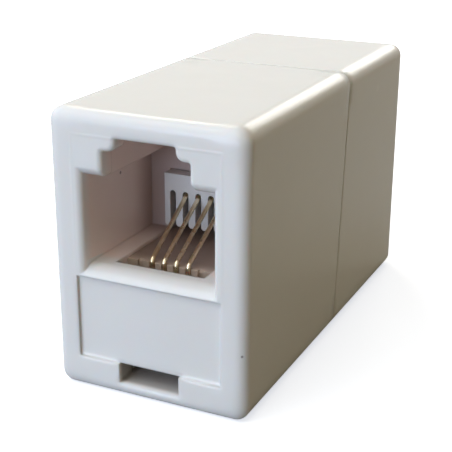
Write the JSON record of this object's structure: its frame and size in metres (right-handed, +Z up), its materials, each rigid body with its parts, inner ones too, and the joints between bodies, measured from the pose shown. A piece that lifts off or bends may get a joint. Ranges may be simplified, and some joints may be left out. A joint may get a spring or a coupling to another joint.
{
  "type": "modular telephone inline coupler",
  "caption": "Inline telephone coupler: a rounded white plastic block parted by a tilted seam, with a modular plug socket at each end and sprung contact wires running between them.",
  "frame": {"origin": "middle of the base, where the coupler rests on its flat underside", "axes": "+Z up with both latch keyways on top, +Y along the body from the front socket to the rear one, +X across it"},
  "size_m": [0.0144, 0.0322, 0.02],
  "materials": {
    "shell_plastic": "glossy moulded white ABS",
    "core_plastic": "plain moulded white polycarbonate",
    "contact_metal": "gold-plated phosphor-bronze spring wire"
  },
  "bodies": {
    "root": {"front_shell": "shell_plastic", "rear_shell": "shell_plastic", "contact_core": "core_plastic", "contact_wire_1": "contact_metal", "contact_wire_2": "contact_metal", "contact_wire_3": "contact_metal", "contact_wire_4": "contact_metal"}
  },
  "joints": []
}
